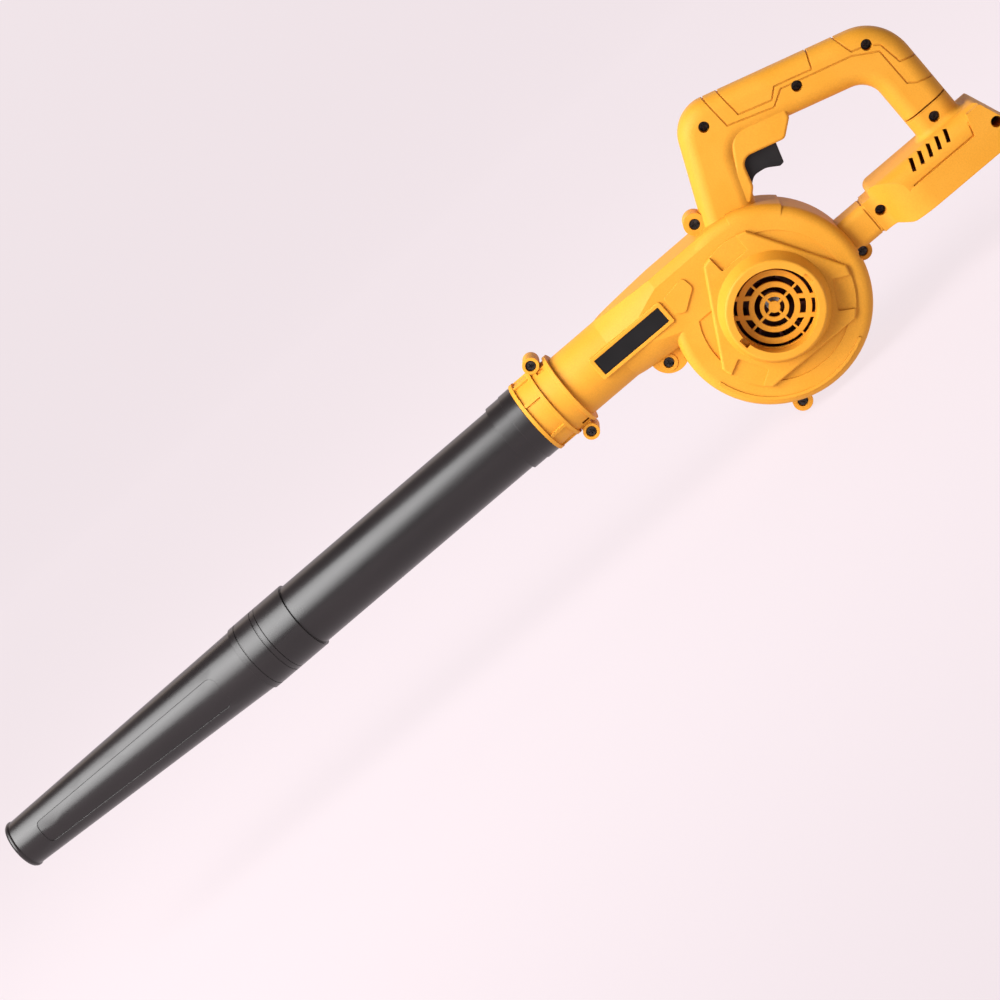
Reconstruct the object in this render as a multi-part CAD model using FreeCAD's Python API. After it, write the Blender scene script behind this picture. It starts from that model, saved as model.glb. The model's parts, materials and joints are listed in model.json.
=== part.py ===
"""Cordless leaf blower: one STEP file per sub-part, millimetres, +Z up.

Modelling frame: X runs along the blow tube (nozzle toward -X), the fan turns about a Y axis
through X = 0, Z = 0 is the tube axis and Y = 0 is the parting plane of the two shell halves.
save_all() moves every part so that the bounding box of the whole blower is centred on X and Y and
stands on Z = 0.
"""
import FreeCAD, Part
import math
import os

os.makedirs("parts", exist_ok=True)
V = FreeCAD.Vector
X_AXIS = V(1, 0, 0)
Y_AXIS = V(0, 1, 0)
Z_AXIS = V(0, 0, 1)

# ---------------------------------------------------------------- shell
WALL = 2.6                 # moulded shell wall
FAN_Z = -48.0              # fan axis below the tube axis
SCROLL_X = -1.5            # centre of the fan drum, a little off the fan axis
SCROLL_R = 75.0
DRUM_HALF = 30.0           # half width of the fan drum
DUCT_R = 26.5
DUCT_SWELL_R = 36.0        # the duct swells between these two stations
DUCT_HALF_HEIGHT = 26.9
SWELL_X = -112.0
DRUM_X = -58.0
DUCT_OVERLAP = 54.0        # how far the duct runs into the drum
COVER_FACE_Y = -34.0       # raised three-lobed field round the inlet
COVER_CORNER_R = 60.5
POCKET_DEPTH = 2.0
COVER_FLAT_R = 46.0
INLET_R = 31.3
INLET_LIP_R = 38.0
INLET_LIP_Y = -50.0
INLET_BASE_R = 43.5
GRILLE_SEAT_R = 32.0       # wider seat behind the inlet bore, for the grille's rim
CRESCENT_R = 56.5          # face of the drum sunk a little between field and rim
FACE_SINK = 1.0
RIM_RISE = 1.2             # raised band on the drum's rim below the handle
WIRE_Z = FAN_Z + SCROLL_R + 7.0    # height at which the motor leads leave the front post
EAR_HALF = 11.0

# ---------------------------------------------------------------- collar and blow tube
COLLAR_FRONT = -193.0
COLLAR_REAR = -156.5
COLLAR_R = 29.0
FLANGE_R = 31.0
TUBE_R = 27.5
TUBE_BORE_R = 25.5
BAND_R = 29.2
BAND_LENGTH = 24.0
JOINT_X = -457.0           # face between front tube and nozzle
SPIGOT_R = 26.0
SPIGOT_BORE_R = 23.9
SPIGOT_LENGTH = 28.0
SPIGOT_GAP = 0.3           # radial clearance of the push fit
LUG_RISE = 1.1
LUG_LENGTH = 9.4
LUG_HALF_ANGLE = 9.0
TWIST = 25.0               # locking turn of both bayonets
FACE_GAP = 0.4
RING_DEPTH = 0.5           # ring lines on the nozzle's collar
NOZZLE_NECK_X = -484.0
NOZZLE_START_R = 28.0
TIP_X = -727.0
TIP_R = 20.0
TIP_LIP_R = 21.0
MOUTH_R = 18.0
MOUTH_DEPTH = 14.0
NOZZLE_RISE = 1.4          # degrees the nozzle bends up from the tube axis

# ---------------------------------------------------------------- handle and foot
GRIP_TILT = 16.5           # degrees the grip falls toward the rear
GRIP_ORIGIN = V(60, 0, 44)
GRIP_UNDER = 15.5          # grip underside and top, measured square to the grip
GRIP_TOP = 54.0
HANDLE_HALF = 17.0
HANDLE_ROUND = 12.0
GROOVE_WIDTH = 1.2         # panel lines on the handle
GROOVE_DEPTH = 1.0
POST_REAR_X = 196.0
POST_INNER_X = 159.0
FOOT_SEAM_Z = -12.0
NECK_SEAM_X = 97.0
NECK_TOP = -35.0
NECK_BOTTOM = -62.0
FOOT_REAR_X = 221.0
FOOT_HALF = 38.0
FOOT_TOP = -28.5
FOOT_BOTTOM = -68.0
SHOULDER_Z = -46.5         # lower edge of the recessed upper flank
SHOULDER_ROUND = 14.0
FLANK_STEP = 1.8
FOOT_FRONT_X = 104.5
TAIL_X = 192.0             # full-width tail behind the rear post
TAIL_ROUND = 16.0
POST_FOOT_ROUND = 4.8      # hollow fillet where the rear post meets the foot
SLOT_CEILING = -54.0
SLOT_FRONT = 122.0
SLOT_HALF = 31.0
RAIL_DEPTH = 5.0
RAIL_HEIGHT = 4.0

# ---------------------------------------------------------------- trigger and switch
TRIGGER_HALF = 10.0
SLIDE_GAP = 0.4

# ---------------------------------------------------------------- motor and fan
CAN_R = 19.0
CAN_FRONT = 11.0
CAN_REAR = 52.0
SHAFT_R = 2.5
CUP_FLOOR = 8.0
FAN_R = 58.0
MOTOR_COVER_R = 50.0
MOTOR_COVER_FLANGE_R = 60.0
MOTOR_COVER_END = 66.6
WIRE_R = 1.1

# ---------------------------------------------------------------- screws
SCREW_R = 2.0
SCREW_HEAD_R = 3.6
SCREW_SEAT_Y = -7.0
SCREW_END_Y = 9.0
COUNTERBORE_R = 4.2
EARS = [(-168, 33.5, 6.5), (-166.5, -34.5, 6.5), (-6, 34, 8.6), (-88, -32.8, 6.8),
        (-31.3, -121.2, 7.8), (74.8, -62.7, 7.4)]     # x, z and radius of each screw ear
EAR_SCREWS = [(x, z) for x, z, r in EARS]
HANDLE_SCREWS = [(46, 85), (116.3, 63.2), (173.2, 52.7)]
FOOT_SCREWS = [(177.5, -20), (104.4, -47), (208.3, -48.8)]
PILLAR_R = 5.2
COVER_SCREW_R = 55.5
COVER_SCREW_ANGLES = [-45, 50, 135, 225]

# ---------------------------------------------------------------- badge and panel lines
BADGE_TILT = 2.3           # degrees the badge plane turns outward toward the fan
BADGE_MIDDLE = V(-96.5, -30.5, 1.3)
BADGE_HALF_LENGTH = 31.0
BADGE_HALF_HEIGHT = 6.6
PANEL_LINES = [
    [(58, 105), (59.5, 74.5), (94, 62.3), (106, 69.5), (160, 53.6), (177.5, 43), (178, 12),
     (184, 7.5), (200, 2)],
    [(69, 104), (71, 75.5), (96, 67.3), (103.5, 74), (132, 65.5), (139, 81)],
    [(157, 75), (162, 56), (174, 52), (181, 46), (184, 27.5), (200, 22)]]

PARTS = {}


# ================================================================ helpers
def keep(name, shape):
    PARTS[name] = shape


def save_all():
    """Centre the whole blower on X and Y, stand it on Z = 0 and write every part."""
    box = FreeCAD.BoundBox()
    for shape in PARTS.values():
        box.add(shape.optimalBoundingBox())
    shift = V(-box.Center.x, -box.Center.y, -box.ZMin)
    for name, shape in PARTS.items():
        moved = shape.copy()
        moved.translate(shift)
        moved.exportStep("parts/" + name + ".step")
    print("shift %.6f %.6f %.6f" % (shift.x, shift.y, shift.z))


def fuse(shapes):
    return shapes[0].multiFuse(shapes[1:]).removeSplitter()


def block(x0, x1, y0, y1, z0, z1):
    return Part.makeBox(x1 - x0, y1 - y0, z1 - z0, V(x0, y0, z0))


def cyl_x(r, x0, x1, y=0.0, z=0.0):
    return Part.makeCylinder(r, x1 - x0, V(x0, y, z), X_AXIS)


def cyl_y(x, z, r, y0, y1):
    return Part.makeCylinder(r, y1 - y0, V(x, y0, z), Y_AXIS)


def cone_y(x, z, r0, r1, y0, y1):
    return Part.makeCone(r0, r1, y1 - y0, V(x, y0, z), Y_AXIS)


def tube_x(r_out, r_in, x0, x1):
    return cyl_x(r_out, x0, x1).cut(cyl_x(r_in, x0 - 1, x1 + 1))


def tube_y(x, z, r_out, r_in, y0, y1):
    return cyl_y(x, z, r_out, y0, y1).cut(cyl_y(x, z, r_in, y0 - 1, y1 + 1))


def corner_arc(before, corner, after, radius):
    """End points and arc of a rounded corner between two straight runs."""
    a = (before - corner).normalize()
    b = (after - corner).normalize()
    half = a.getAngle(b) / 2
    reach = radius / math.tan(half)
    start = corner + a * reach
    end = corner + b * reach
    middle = corner + (a + b).normalize() * (radius / math.sin(half) - radius)
    return start, end, Part.Arc(start, middle, end).toShape()


def run(points, closed):
    """Wire of straight runs through (point, corner radius) pairs, with tangent arcs."""
    count = len(points)
    edges = []
    last = None
    first = None
    for i in range(count):
        point, radius = points[i]
        rounded = radius > 0 and (closed or 0 < i < count - 1)
        start = point
        end = point
        if rounded:
            before = points[i - 1][0]
            after = points[(i + 1) % count][0]
            start, end, arc = corner_arc(before, point, after, radius)
        if last is None:
            first = start
        else:
            edges.append(Part.makeLine(last, start))
        if rounded:
            edges.append(arc)
        last = end
    if closed:
        edges.append(Part.makeLine(last, first))
    return Part.Wire(edges)


def outline(corners):
    """Face in the XZ plane from (x, z, corner radius) corners."""
    return Part.Face(run([(V(x, 0, z), r) for x, z, r in corners], True))


def plate(corners, y0, y1):
    """Flat plate with an XZ outline, from y0 to y1."""
    face = outline(corners)
    face.translate(V(0, y0, 0))
    return face.extrude(V(0, y1 - y0, 0))


def cord(points, radius):
    """Round cord along straight runs and tangent arcs."""
    path = run(points, False)
    start = points[0][0]
    circle = Part.Wire(Part.makeCircle(radius, start, points[1][0] - start))
    return path.makePipeShell([circle], True, True)


def rim_edges(shape, y):
    """Edges of a shape that lie wholly in the plane Y = y."""
    def flat(edge):
        return all(abs(v.Y - y) < 1e-4 for v in edge.Vertexes)
    return [e for e in shape.Edges if flat(e) and abs(e.BoundBox.YLength) < 1e-3]


def rounded_plate(face, half, radius):
    """Plate of an XZ face, half wide each way, with both rims rounded."""
    body = face.copy()
    body.translate(V(0, -half, 0))
    body = body.extrude(V(0, 2 * half, 0))
    return body.makeFillet(radius, rim_edges(body, -half) + rim_edges(body, half))


def in_grip(shape):
    """Move a shape drawn with X along the grip and Z square to it into place."""
    placed = shape.copy()
    placed.rotate(V(0, 0, 0), Y_AXIS, GRIP_TILT)
    placed.translate(GRIP_ORIGIN)
    return placed


def grip_point(u, w, y=0.0):
    turn = FreeCAD.Rotation(Y_AXIS, GRIP_TILT)
    return GRIP_ORIGIN + turn.multVec(V(u, y, w))


def fan_polar(radius, angle):
    """Point (x, z) at a radius and angle about the fan axis."""
    a = math.radians(angle)
    return radius * math.cos(a), FAN_Z + radius * math.sin(a)


def half(shape, side):
    """Keep the part of a shape on one side of the parting plane."""
    y0, y1 = (-200, 0) if side < 0 else (0, 200)
    return shape.common(block(-900, 400, y0, y1, -300, 300))


# ================================================================ bayonet joint
def sector_x(r_out, r_in, x0, x1, angle, half_angle):
    """Ring sector about the X axis, centred on an angle from -Y toward +Z."""
    wedge = Part.makeCylinder(r_out, x1 - x0, V(0, 0, x0), Z_AXIS, 2 * half_angle)
    ring = wedge.cut(Part.makeCylinder(r_in, x1 - x0 + 2, V(0, 0, x0 - 1)))
    ring.rotate(V(0, 0, 0), Z_AXIS, -half_angle)
    ring.rotate(V(0, 0, 0), Y_AXIS, 90)
    ring.rotate(V(0, 0, 0), X_AXIS, -90 - angle)
    return ring


def bayonet_lugs(x_face):
    """Two lugs of a spigot whose shoulder stands at x_face and points to +X."""
    x0 = x_face + FACE_GAP + 9.3
    lugs = []
    for side in (0, 180):
        lugs.append(sector_x(SPIGOT_R + LUG_RISE, SPIGOT_R - 0.5, x0, x0 + LUG_LENGTH,
                             side, LUG_HALF_ANGLE))
    return lugs


def bayonet_socket(x_face):
    """Space cut from a socket whose mouth is at x_face and points to -X."""
    groove_r = SPIGOT_R + LUG_RISE + SPIGOT_GAP
    inner_r = SPIGOT_R - 1
    x0 = x_face + 9.0
    x1 = x0 + LUG_LENGTH + 0.6
    slack = 0.8
    cuts = [cyl_x(SPIGOT_R + SPIGOT_GAP, x_face - 1, x_face + SPIGOT_LENGTH + 0.5)]
    for side in (0, 180):
        reach = LUG_HALF_ANGLE + slack + TWIST / 2
        cuts.append(sector_x(groove_r, inner_r, x0, x1, side + TWIST / 2, reach))
        cuts.append(sector_x(groove_r, inner_r, x_face - 1, x1, side + TWIST,
                             LUG_HALF_ANGLE + slack))
    return cuts


# ================================================================ shell halves
def handle_corners(end_z):
    """Side outline of the C-shaped handle; the drum, neck and foot close the D."""
    def at(u, w, r):
        p = grip_point(u, w)
        return p.x, p.z, r
    rear_top = grip_point((POST_REAR_X - GRIP_ORIGIN.x) / math.cos(math.radians(GRIP_TILT))
                          - GRIP_TOP * math.tan(math.radians(GRIP_TILT)), GRIP_TOP)
    rear_in = grip_point((POST_INNER_X - GRIP_ORIGIN.x) / math.cos(math.radians(GRIP_TILT))
                         - GRIP_UNDER * math.tan(math.radians(GRIP_TILT)), GRIP_UNDER)
    return [
        (-12.0, 8.0, 0), at(-43.5, GRIP_TOP, 28.0),
        (rear_top.x, rear_top.z, 38.0), (POST_REAR_X, end_z, 0),
        (POST_INNER_X, end_z, 0), (rear_in.x, rear_in.z, 19.0),
        at(-9.5, GRIP_UNDER, 12.0), (35.0, 6.0, 0)]


def handle_solid():
    """Rounded handle, cut off square at the seam with the foot."""
    body = rounded_plate(outline(handle_corners(FOOT_SEAM_Z - 20)), HANDLE_HALF, HANDLE_ROUND)
    return body.cut(block(140, 220, -30, 30, FOOT_SEAM_Z - 30, FOOT_SEAM_Z))


def handle_core(inset):
    """The handle's outline and thickness made smaller all round."""
    face = outline(handle_corners(FOOT_SEAM_Z)).makeOffset2D(-inset)
    return rounded_plate(face, HANDLE_HALF - inset, HANDLE_ROUND - inset)


def handle_hollow():
    open_end = block(POST_INNER_X + 4, POST_REAR_X - 4, -10, 10, FOOT_SEAM_Z - 1, FOOT_SEAM_Z + 6)
    return handle_core(WALL).fuse(open_end)


def panel_line(points, reach):
    """Upright wall along a bent line, as wide as a panel groove."""
    pieces = [cyl_y(x, z, GROOVE_WIDTH / 2, -reach, reach) for x, z in points[1:-1]]
    for (x0, z0), (x1, z1) in zip(points, points[1:]):
        length = math.hypot(x1 - x0, z1 - z0)
        wall = block(0, length, -reach, reach, -GROOVE_WIDTH / 2, GROOVE_WIDTH / 2)
        wall.rotate(V(0, 0, 0), Y_AXIS, -math.degrees(math.atan2(z1 - z0, x1 - x0)))
        wall.translate(V(x0, 0, z0))
        pieces.append(wall)
    return fuse(pieces)


def panel_grooves():
    """Shallow grooves that follow the rounded surface of the handle."""
    core = handle_core(GROOVE_DEPTH)
    seam = FOOT_SEAM_Z + GROOVE_DEPTH + GROOVE_WIDTH / 2
    lines = PANEL_LINES + [[(POST_INNER_X - 9, seam), (POST_REAR_X + 9, seam)]]
    return [panel_line(points, HANDLE_HALF + 2).cut(core) for points in lines]


def neck_seam_groove():
    """Groove round the neck beside its seam with the foot."""
    x1 = NECK_SEAM_X - GROOVE_DEPTH
    ring = block(x1 - GROOVE_WIDTH, x1, -HANDLE_HALF - 1, HANDLE_HALF + 1, NECK_BOTTOM - 1, NECK_TOP + 1)
    return ring.cut(block(x1 - 9, x1 + 9, -HANDLE_HALF + GROOVE_DEPTH, HANDLE_HALF - GROOVE_DEPTH,
                          NECK_BOTTOM + GROOVE_DEPTH, NECK_TOP - GROOVE_DEPTH))


def trigger_housing():
    """Swelling of the grip round the trigger, carried down the inner edge of the front post."""
    body = plate([(34.5, 24, 0), (-5, 24, 3), (-12, 15, 12), (-16, 0, 30), (-25, -27, 0),
                  (-16, -31, 3), (-9.5, -20, 8), (-9.5, 2.5, 8), (25.5, 2.5, 5),
                  (34.5, GRIP_UNDER, 3)], -15.5, 15.5)
    rims = rim_edges(body, -15.5) + rim_edges(body, 15.5)
    return in_grip(body.makeFillet(2.2, rims))


def drum():
    """Fan drum with a sunk face between field and rim, a raised rim band and a rim lip."""
    def rounded(radius):
        body = cyl_y(SCROLL_X, FAN_Z, radius, -DRUM_HALF, DRUM_HALF)
        return body.makeFillet(8, rim_edges(body, -DRUM_HALF) + rim_edges(body, DRUM_HALF))
    def sector(shape, angle_from, angle_to):
        corners = [(SCROLL_X, FAN_Z, 0)]
        for angle in (angle_from, (angle_from + angle_to) / 2, angle_to):
            a = math.radians(angle)
            corners.append((SCROLL_X + 130 * math.cos(a), FAN_Z + 130 * math.sin(a), 0))
        return shape.common(plate(corners, -40, 40))
    band = sector(rounded(SCROLL_R + RIM_RISE), 45, 77)
    lip = tube_y(SCROLL_X, FAN_Z, SCROLL_R - 5, SCROLL_R - 7.5, -DRUM_HALF - 0.9, -DRUM_HALF + 4)
    body = fuse([rounded(SCROLL_R), band, sector(lip, -165, -60)])
    return body.cut(cyl_y(0, FAN_Z, CRESCENT_R, -DRUM_HALF - 1, -DRUM_HALF + FACE_SINK))


def cover_field():
    """Raised three-lobed field: a triangle with its corners cut by a circle."""
    corners = []
    for angle in (90, 210, 330):
        x, z = fan_polar(2 * COVER_FLAT_R, angle)
        corners.append((x, z, 0))
    field = plate(corners, COVER_FACE_Y, -DRUM_HALF + 8)
    field = field.common(cyl_y(0, FAN_Z, COVER_CORNER_R, COVER_FACE_Y - 1, 0))
    field = field.makeFillet(2.0, rim_edges(field, COVER_FACE_Y))
    for angle in (90, 210, 330):
        pocket = []
        for radius, turn in ((47, -15), (47, 15), (62, 12), (62, -12)):
            x, z = fan_polar(radius, angle + turn)
            pocket.append((x, z, 1.5))
        field = field.cut(plate(pocket, COVER_FACE_Y - 1, COVER_FACE_Y + POCKET_DEPTH))
    return field


def inlet_cone():
    neck = cone_y(0, FAN_Z, INLET_LIP_R, INLET_BASE_R, INLET_LIP_Y + 3, COVER_FACE_Y + 4)
    lip = cyl_y(0, FAN_Z, INLET_LIP_R, INLET_LIP_Y, INLET_LIP_Y + 3)
    lip = lip.makeFillet(2, rim_edges(lip, INLET_LIP_Y))
    return neck.fuse(lip)


def collar():
    pieces = [cyl_x(COLLAR_R, COLLAR_FRONT, COLLAR_REAR)]
    for x0 in (COLLAR_FRONT, -176.0, COLLAR_REAR - 3):
        pieces.append(cyl_x(FLANGE_R, x0, x0 + 3))
    for angle in (-60, -15, 20, 60, 120, 165, 200, 240):
        rib = block(COLLAR_FRONT, -174, -1.5, 1.5, COLLAR_R - 1, FLANGE_R - 0.6)
        rib.rotate(V(0, 0, 0), X_AXIS, angle)
        pieces.append(rib)
    return pieces


def duct(inset):
    """Round at the collar, swelling to a flat-sided section at the fan drum."""
    radius = DUCT_R - inset
    wide = DUCT_SWELL_R - inset
    swell = Part.makeCone(radius, wide, DRUM_X - SWELL_X, V(SWELL_X, 0, 0), X_AXIS)
    swell = swell.fuse(cyl_x(wide, DRUM_X, DRUM_X + DUCT_OVERLAP))
    side = DRUM_HALF - inset
    high = DUCT_HALF_HEIGHT - inset
    swell = swell.common(block(SWELL_X, DRUM_X + DUCT_OVERLAP, -side, side, -high, high))
    return fuse([cyl_x(radius, COLLAR_REAR - 1, SWELL_X), swell])


def duct_web():
    """Lens-shaped web below the duct that carries the screw ear next to the drum."""
    ear_x, ear_z = EAR_SCREWS[3]
    sides = []
    for step in (-7.2, 7.2):
        sides.append(cyl_y(ear_x + 0.62 * step, ear_z + 0.79 * step, 15.6,
                           -EAR_HALF + 0.6, EAR_HALF - 0.6))
    gusset = plate([(-86, -20, 0), (-70, -20, 0), (-72, -37, 3), (-86, -37, 3)],
                   -EAR_HALF + 0.6, EAR_HALF - 0.6)
    return sides[0].common(sides[1]).fuse(gusset)


def decor_pad():
    """Plain raised field between badge and inlet."""
    return plate([(-58, 10, 2), (-37.5, 13, 3), (-36, 2.5, 4), (-52, -8.5, 3), (-58, -5, 2)],
                 -DRUM_HALF - 1.3, -DRUM_HALF + 4)


def in_badge(x0, x1, y0, y1, half_height):
    """Block on the badge plane: X along the badge, Y behind its raised face."""
    body = block(x0, x1, y0, y1, -half_height, half_height)
    body.rotate(V(0, 0, 0), Z_AXIS, -BADGE_TILT)
    body.translate(BADGE_MIDDLE)
    return body


def badge_pad():
    pad = in_badge(-BADGE_HALF_LENGTH - 3.6, BADGE_HALF_LENGTH + 3.6, 0, 11,
                   BADGE_HALF_HEIGHT + 3.0)
    pad = pad.makeFillet(2, [e for e in pad.Edges if e.BoundBox.YLength > 10])
    face = [e for e in pad.Edges if e.BoundBox.Center.y < BADGE_MIDDLE.y + 1.6]
    return pad.makeFillet(0.6, face)


def shell_outside():
    pieces = [drum(), cover_field(), inlet_cone(), badge_pad(), handle_solid()]
    pieces.append(trigger_housing())
    pieces += collar()
    pieces += [duct(0), duct_web(), decor_pad()]
    neck = block(55, NECK_SEAM_X, -HANDLE_HALF, HANDLE_HALF, NECK_BOTTOM, NECK_TOP)
    pieces.append(neck.makeFillet(6, [e for e in neck.Edges if e.BoundBox.XLength > 40]))
    for x, z, radius in EARS:
        pieces.append(cyl_y(x, z, radius, -EAR_HALF, EAR_HALF))
        toward = V(SCROLL_X, 0, FAN_Z) if x > -60 else V(x, 0, 0)
        web = block(0, 14, -EAR_HALF + 1, EAR_HALF - 1, -4.5, 4.5)
        turn = math.degrees(math.atan2(z - toward.z, toward.x - x))
        web.rotate(V(0, 0, 0), Y_AXIS, turn)
        web.translate(V(x, 0, z))
        pieces.append(web)
    pieces.append(block(8, 30, 10, DRUM_HALF, WIRE_Z - 20, WIRE_Z + 8))
    return fuse(pieces)


def shell_inside():
    """Air chamber, duct and the space for wires and switch."""
    inner = DRUM_HALF - WALL
    chamber = cyl_y(SCROLL_X, FAN_Z, SCROLL_R - WALL, -inner, inner)
    chamber = chamber.makeFillet(5.4, rim_edges(chamber, -inner) + rim_edges(chamber, inner))
    air = fuse([chamber, duct(WALL), cyl_x(DUCT_R - WALL, COLLAR_FRONT + SPIGOT_LENGTH - 1,
                                           COLLAR_REAR)])
    walls = cyl_y(SCROLL_X, FAN_Z, SCROLL_R, -DRUM_HALF, DRUM_HALF).fuse(duct(-0.5))
    dry = handle_hollow().cut(walls)
    neck = block(77, NECK_SEAM_X + 1, -HANDLE_HALF + WALL, HANDLE_HALF - WALL,
                 NECK_BOTTOM + WALL, NECK_TOP - WALL)
    well = in_grip(block(-15.4, 21.9, -12.4, 12.4, 5.1, 20))
    slot = in_grip(block(-11.4, 18.9, -TRIGGER_HALF - SLIDE_GAP, TRIGGER_HALF + SLIDE_GAP,
                         -24, 6))
    wire_way = block(11, 27, 12, DRUM_HALF + 1, WIRE_Z - 5, WIRE_Z + 5)
    inlet = cyl_y(0, FAN_Z, INLET_R, INLET_LIP_Y - 1, COVER_FACE_Y + 1)
    seat = cyl_y(0, FAN_Z, GRILLE_SEAT_R, COVER_FACE_Y, -20)
    cuts = [air, dry, neck, well, slot, wire_way, inlet, seat] + bayonet_socket(COLLAR_FRONT)
    for angle in (5, 186):
        notch = block(INLET_R - 2, INLET_R + 3.2, INLET_LIP_Y - 1, INLET_LIP_Y + 7, -4, 4)
        notch.rotate(V(0, 0, 0), Y_AXIS, -angle)
        notch.translate(V(0, 0, FAN_Z))
        cuts.append(notch)
    cuts.append(in_badge(-BADGE_HALF_LENGTH - 0.2, BADGE_HALF_LENGTH + 0.2, -1, 1.2,
                         BADGE_HALF_HEIGHT + 0.2))
    for x, z in ((-165.4, 26.0), (-163.6, -24.5)):
        cuts.append(block(x - 3.2, x + 3.2, -18, -10, z - 0.9, z + 0.9))
    return cuts


def pillars(places, reach):
    """Screw pillars that stand in a hollow, from the outer wall to the parting plane."""
    return [cyl_y(x, z, PILLAR_R, -reach, reach) for x, z in places]


def screw_cuts(places):
    """Counterbore and clearance hole on the left, thread hole on the right."""
    cuts = []
    for x, z in places:
        cuts.append(cyl_y(x, z, COUNTERBORE_R, -60, SCREW_SEAT_Y))
        cuts.append(cyl_y(x, z, SCREW_R + 0.3, SCREW_SEAT_Y - 1, 0))
        cuts.append(cyl_y(x, z, SCREW_R + 0.02, 0, SCREW_END_Y + 1))
    return cuts


def motor_cup():
    """Cup in the right half that carries the motor, with bosses for the motor cover."""
    cup = tube_y(0, FAN_Z, CAN_R + 3.0, CAN_R + 0.2, CUP_FLOOR, DRUM_HALF)
    floor = cyl_y(0, FAN_Z, CAN_R + 3.0, CUP_FLOOR, CAN_FRONT)
    pieces = [cup, floor]
    for angle in COVER_SCREW_ANGLES:
        x, z = fan_polar(COVER_SCREW_R, angle)
        pieces.append(cyl_y(x, z, 4.5, 18, DRUM_HALF - 1))
    return pieces


def motor_cup_cuts():
    cuts = [cyl_y(0, FAN_Z, CAN_R + 0.2, CAN_FRONT, DRUM_HALF + 1)]
    cuts.append(cyl_y(0, FAN_Z, 6.8, CUP_FLOOR - 1, CAN_FRONT + 1))
    for x, z in motor_screw_places():
        cuts.append(cyl_y(x, z, 1.8, CUP_FLOOR - 1, CAN_FRONT + 1))
    for angle in COVER_SCREW_ANGLES:
        x, z = fan_polar(COVER_SCREW_R, angle)
        cuts.append(cyl_y(x, z, 1.52, 19.5, DRUM_HALF + 1))
    return cuts


def make_shell():
    body = shell_outside().cut(fuse(shell_inside()))
    body = fuse([body] + pillars(HANDLE_SCREWS, HANDLE_HALF - 1))
    body = body.cut(fuse(screw_cuts(EAR_SCREWS + HANDLE_SCREWS) + panel_grooves()
                         + [neck_seam_groove()]))
    right = half(body, 1)
    right = fuse([right] + motor_cup()).cut(fuse(motor_cup_cuts()))
    return half(body, -1), right


def inlet_grille():
    """Guard set in the inlet: three rings, a hub and spokes."""
    y0 = -34.0
    y1 = -31.0
    pieces = [cyl_y(0, FAN_Z, 4.4, y0, y1)]
    for r_out, r_in in ((10.8, 7.6), (19.0, 14.9), (27.7, 23.4), (GRILLE_SEAT_R - 0.1, 30.3)):
        pieces.append(tube_y(0, FAN_Z, r_out, r_in, y0, y1))
    for angle in (7, 97, 187, 277):
        spoke = block(3, 30.9 if angle == 277 else 24, y0, y1, -0.8, 0.8)
        spoke.rotate(V(0, 0, 0), Y_AXIS, -angle)
        spoke.translate(V(0, 0, FAN_Z))
        pieces.append(spoke)
    for side in (-1, 1):
        bar = block(-30, 30, y0, y1, 7.2 * side - 1.7, 7.2 * side + 1.7)
        bar = bar.cut(cyl_y(0, 0, 18.0, y0 - 1, y1 + 1))
        bar.rotate(V(0, 0, 0), Y_AXIS, 38)
        bar.translate(V(0, 0, FAN_Z))
        pieces.append(bar)
    return fuse(pieces)


# ================================================================ battery foot
def foot_side(inset):
    """Side view of the foot."""
    return plate([
        (NECK_SEAM_X, NECK_TOP - inset, 0), (FOOT_FRONT_X + inset, NECK_TOP - inset, 1),
        (FOOT_FRONT_X + inset, FOOT_TOP - inset, 5),
        (FOOT_REAR_X - 15 - inset, FOOT_TOP - inset, 6),
        (FOOT_REAR_X - inset, FOOT_BOTTOM + inset, 4), (118 + inset, FOOT_BOTTOM + inset, 10),
        (108 + inset, NECK_BOTTOM + inset, 3), (NECK_SEAM_X, NECK_BOTTOM + inset, 0)],
        -FOOT_HALF, FOOT_HALF)


def foot_plan(inset):
    """Top view of the foot: it flares from the neck to its full width."""
    wide = FOOT_HALF - inset
    narrow = HANDLE_HALF - inset
    front = [(NECK_SEAM_X, narrow, 0), (FOOT_FRONT_X + 1, narrow, 12), (FOOT_FRONT_X + 17.5, wide, 38),
             (FOOT_REAR_X, wide, 0)]
    corners = [(V(x, -y, -90), r) for x, y, r in front]
    corners += [(V(x, y, -90), r) for x, y, r in reversed(front)]
    return Part.Face(run(corners, True)).extrude(V(0, 0, 120))


def foot_section(inset, half_width, top, radius, x0, x1):
    """Cross-section with rounded shoulders, run along X."""
    wide = half_width - inset
    top = top - inset
    corners = [(V(x0, -wide, -90), 0), (V(x0, -wide, top), radius - inset),
               (V(x0, wide, top), radius - inset), (V(x0, wide, -90), 0)]
    return Part.Face(run(corners, True)).extrude(V(x1 - x0, 0, 0))


def foot_solid(inset):
    upper = foot_section(inset, FOOT_HALF - FLANK_STEP, FOOT_TOP, SHOULDER_ROUND, 90, 240)
    tail = foot_section(inset, FOOT_HALF, FOOT_TOP, TAIL_ROUND, TAIL_X + inset, 240)
    edge = SHOULDER_Z - inset
    low = plate([(90, -90, 0), (90, edge - 24, 0), (112 - inset, edge - 16, 0),
                 (127 - inset, edge, 18), (TAIL_X - 2, edge, 5), (TAIL_X + 3, edge + 16, 0),
                 (240, edge + 16, 0), (240, -90, 0)], -FOOT_HALF + inset, FOOT_HALF - inset)
    return foot_side(inset).common(foot_plan(inset)).common(fuse([upper, tail, low]))


def post_stub(inset):
    half_width = HANDLE_HALF - inset
    stub = block(POST_INNER_X + inset, POST_REAR_X - inset, -half_width, half_width,
                 FOOT_TOP - 6, FOOT_SEAM_Z)
    return stub.makeFillet(HANDLE_ROUND - inset, [e for e in stub.Edges if e.BoundBox.ZLength > 9])


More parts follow.
